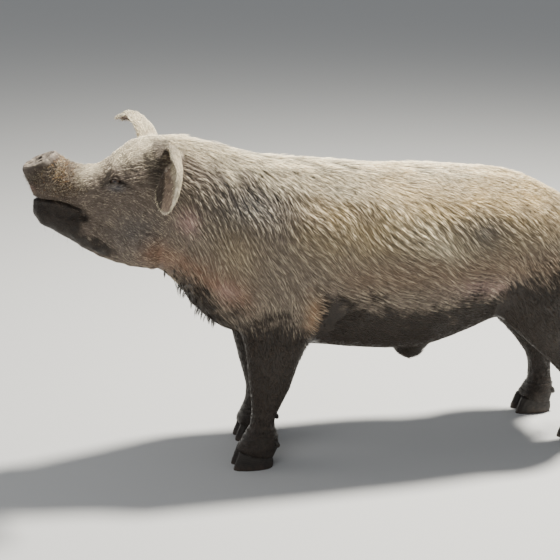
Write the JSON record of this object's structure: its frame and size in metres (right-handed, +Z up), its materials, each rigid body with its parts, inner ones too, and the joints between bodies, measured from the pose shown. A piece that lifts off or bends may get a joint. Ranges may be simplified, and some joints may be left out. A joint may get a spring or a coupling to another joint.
{
  "type": "domestic pig",
  "caption": "Full-grown domestic pig as a still life-size model, standing with its head raised, bristly muddy hide, one ear hanging and one up.",
  "frame": {"origin": "middle of the pig's footprint, on the floor under its soles", "axes": "+X towards the tail, -X the way it faces, +Y its right side, +Z up"},
  "size_m": [1.7116, 0.4744, 1.0129],
  "materials": {
    "hide": "pig's skin under lying cream and grey-brown bristle, dusty, mud-stained towards the belly",
    "muddy_hide": "legs' skin and short bristle under damp dark mud",
    "horn": "dark claw horn, scuffed and muddy",
    "eye": "wet dark brown eye"
  },
  "bodies": {
    "root": {"head": "hide", "lower_jaw": "hide", "neck": "hide", "torso": "hide", "tail": "hide", "ear_left": "hide", "ear_right": "hide", "leg_fore_left": "muddy_hide", "leg_fore_right": "muddy_hide", "leg_hind_left": "muddy_hide", "leg_hind_right": "muddy_hide", "eye_left": "eye", "eye_right": "eye", "claw_fore_left_inner": "horn", "dewclaw_fore_left_inner": "horn", "claw_fore_left_outer": "horn", "dewclaw_fore_left_outer": "horn", "claw_fore_right_inner": "horn", "dewclaw_fore_right_inner": "horn", "claw_fore_right_outer": "horn", "dewclaw_fore_right_outer": "horn", "claw_hind_left_inner": "horn", "dewclaw_hind_left_inner": "horn", "claw_hind_left_outer": "horn", "dewclaw_hind_left_outer": "horn", "claw_hind_right_inner": "horn", "dewclaw_hind_right_inner": "horn", "claw_hind_right_outer": "horn", "dewclaw_hind_right_outer": "horn"}
  },
  "joints": []
}
